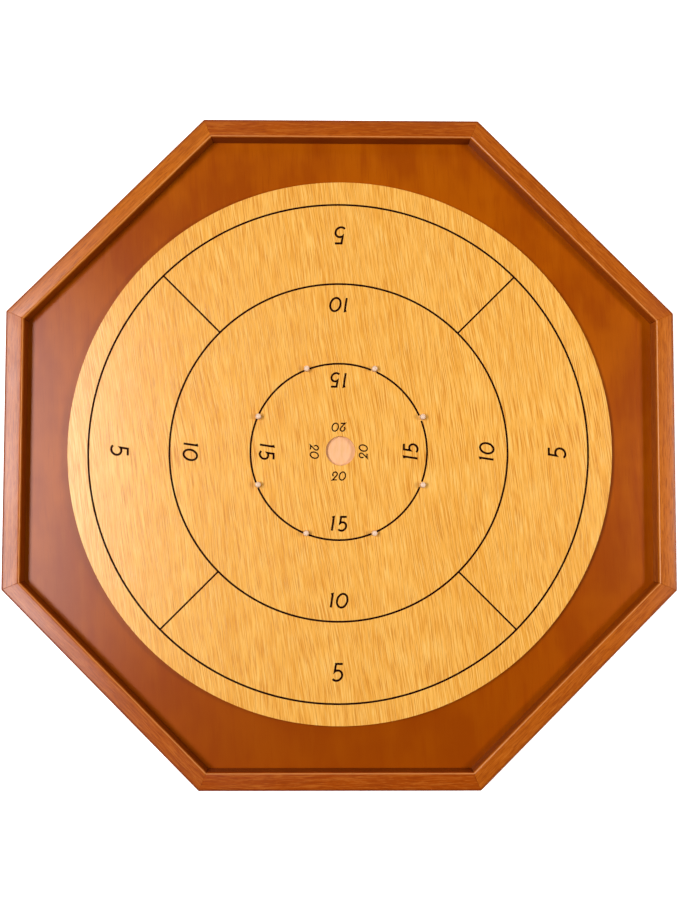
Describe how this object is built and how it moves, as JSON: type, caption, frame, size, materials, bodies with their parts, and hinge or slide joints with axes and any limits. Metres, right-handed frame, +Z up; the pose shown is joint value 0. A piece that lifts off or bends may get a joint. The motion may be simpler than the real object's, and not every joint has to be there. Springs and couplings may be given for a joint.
{
  "type": "crokinole board",
  "caption": "Eight-sided wooden tabletop game board with a raised round playing disc, ring lines, a centre hole, a ring of pegs and a ditch inside mitred rails.",
  "frame": {"origin": "on the table under the middle of the board", "axes": "+X to the right, +Y away from the front player, +Z up"},
  "size_m": [0.762, 0.762, 0.0375],
  "materials": {
    "rail": "reddish-brown stain, satin lacquer",
    "panel": "reddish-brown stain, satin lacquer",
    "core": "bare pale birch",
    "veneer": "golden veneer, satin lacquer, black printed lines",
    "peg": "pale maple dowel, smooth",
    "spline": "bare birch plywood",
    "screw": "zinc plated",
    "ink": "black printing ink on the veneer, under the lacquer",
    "foot": "matte black"
  },
  "bodies": {
    "root": {"rail_front": "rail", "rail_front_right": "rail", "rail_right": "rail", "rail_back_right": "rail", "rail_back": "rail", "rail_back_left": "rail", "rail_left": "rail", "rail_front_left": "rail", "mitre_spline_1": "spline", "mitre_spline_2": "spline", "mitre_spline_3": "spline", "mitre_spline_4": "spline", "mitre_spline_5": "spline", "mitre_spline_6": "spline", "mitre_spline_7": "spline", "mitre_spline_8": "spline", "base_panel": "panel", "playing_disc_core": "core", "playing_disc_veneer": "veneer", "disc_screw_1": "screw", "disc_screw_2": "screw", "disc_screw_3": "screw", "disc_screw_4": "screw", "disc_screw_5": "screw", "disc_screw_6": "screw", "disc_screw_7": "screw", "disc_screw_8": "screw", "peg_1": "peg", "peg_2": "peg", "peg_3": "peg", "peg_4": "peg", "peg_5": "peg", "peg_6": "peg", "peg_7": "peg", "peg_8": "peg", "foot_front_right": "foot", "foot_screw_front_right": "screw", "foot_back_right": "foot", "foot_screw_back_right": "screw", "foot_back_left": "foot", "foot_screw_back_left": "screw", "foot_front_left": "foot", "foot_screw_front_left": "screw"}
  },
  "joints": []
}
